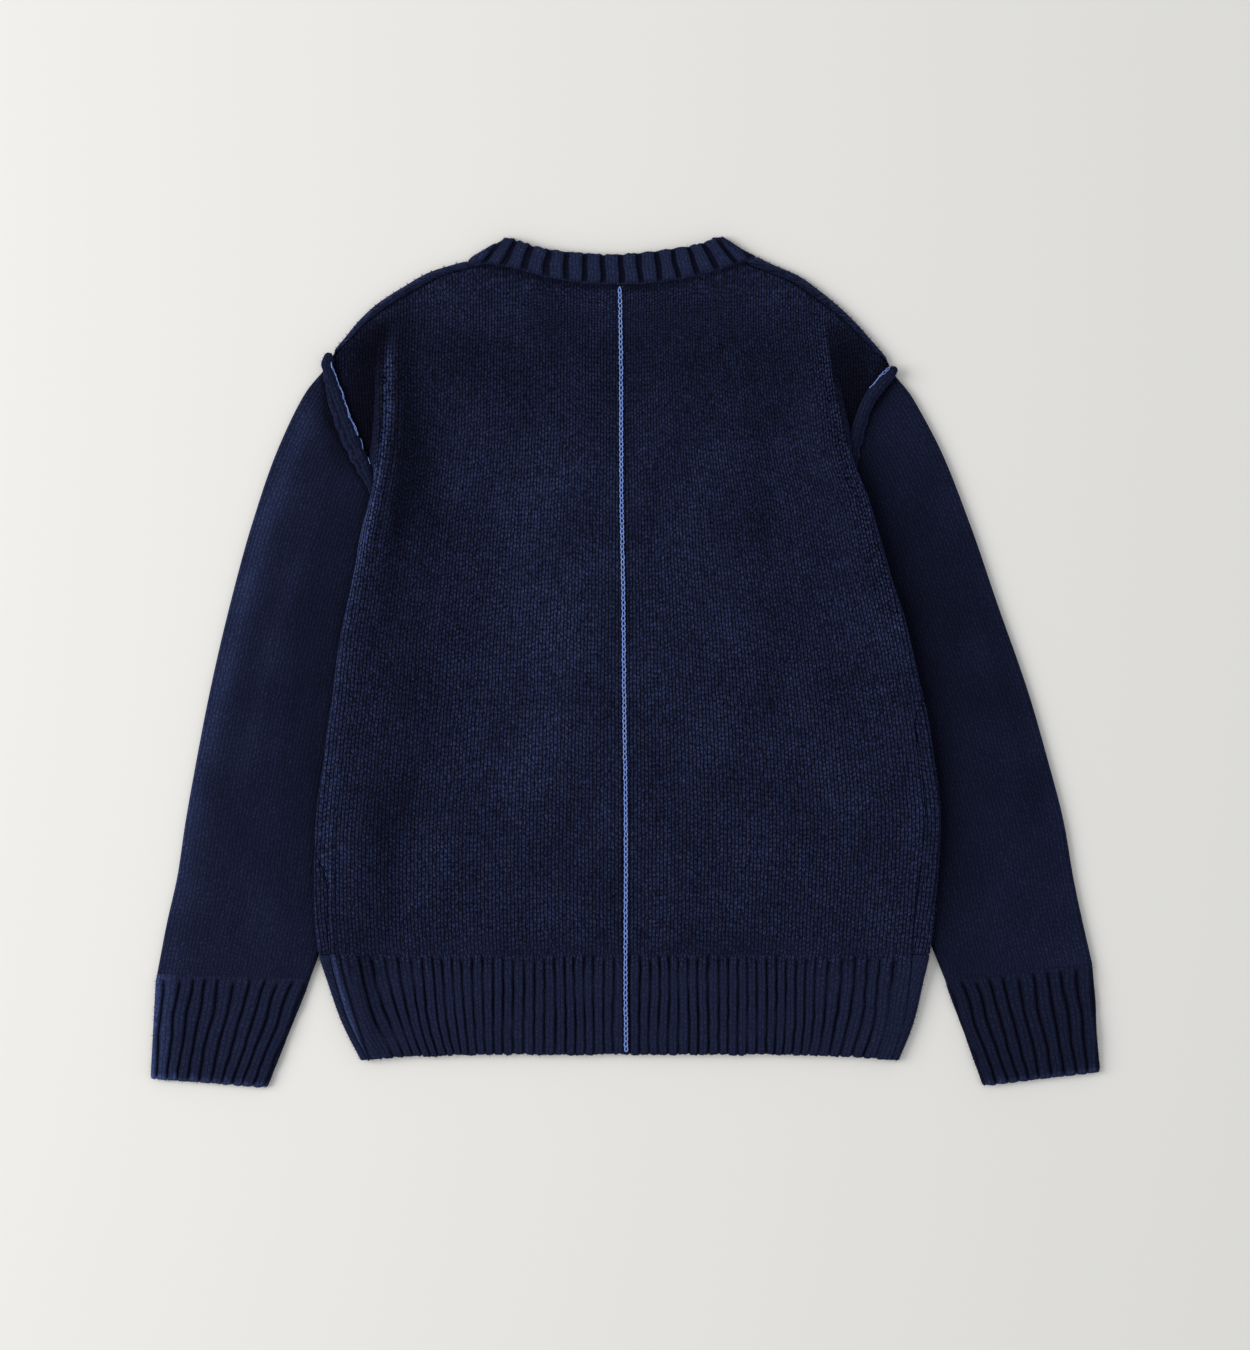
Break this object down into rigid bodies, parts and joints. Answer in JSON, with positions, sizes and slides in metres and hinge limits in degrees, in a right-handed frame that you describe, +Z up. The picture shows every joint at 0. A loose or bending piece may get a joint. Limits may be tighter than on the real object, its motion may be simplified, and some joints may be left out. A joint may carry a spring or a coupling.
{
  "type": "knitted jumper",
  "caption": "Chunky knitted crew-neck jumper laid out flat, back up, with ribbed collar, cuffs and hem and a contrast seam down the back.",
  "frame": {"origin": "middle of the laid garment's outline, on the surface that it lies on", "axes": "+X across the body towards the right of the picture, +Y from the hem to the collar, +Z up from the surface through the back"},
  "size_m": [0.778, 0.6985, 0.0204],
  "materials": {
    "knit": "brushed stocking-stitch wool knit, navy",
    "rib": "ribbed wool knit, navy",
    "thread": "chain-stitched yarn, cornflower blue"
  },
  "bodies": {
    "root": {"back_left": "knit", "back_right": "knit", "front": "knit", "sleeve_left": "knit", "sleeve_right": "knit", "armhole_seam_left": "knit", "armhole_seam_right": "knit", "collar": "rib", "hem_back_left": "rib", "hem_back_right": "rib", "hem_front": "rib", "cuff_left": "rib", "cuff_right": "rib"}
  },
  "joints": []
}
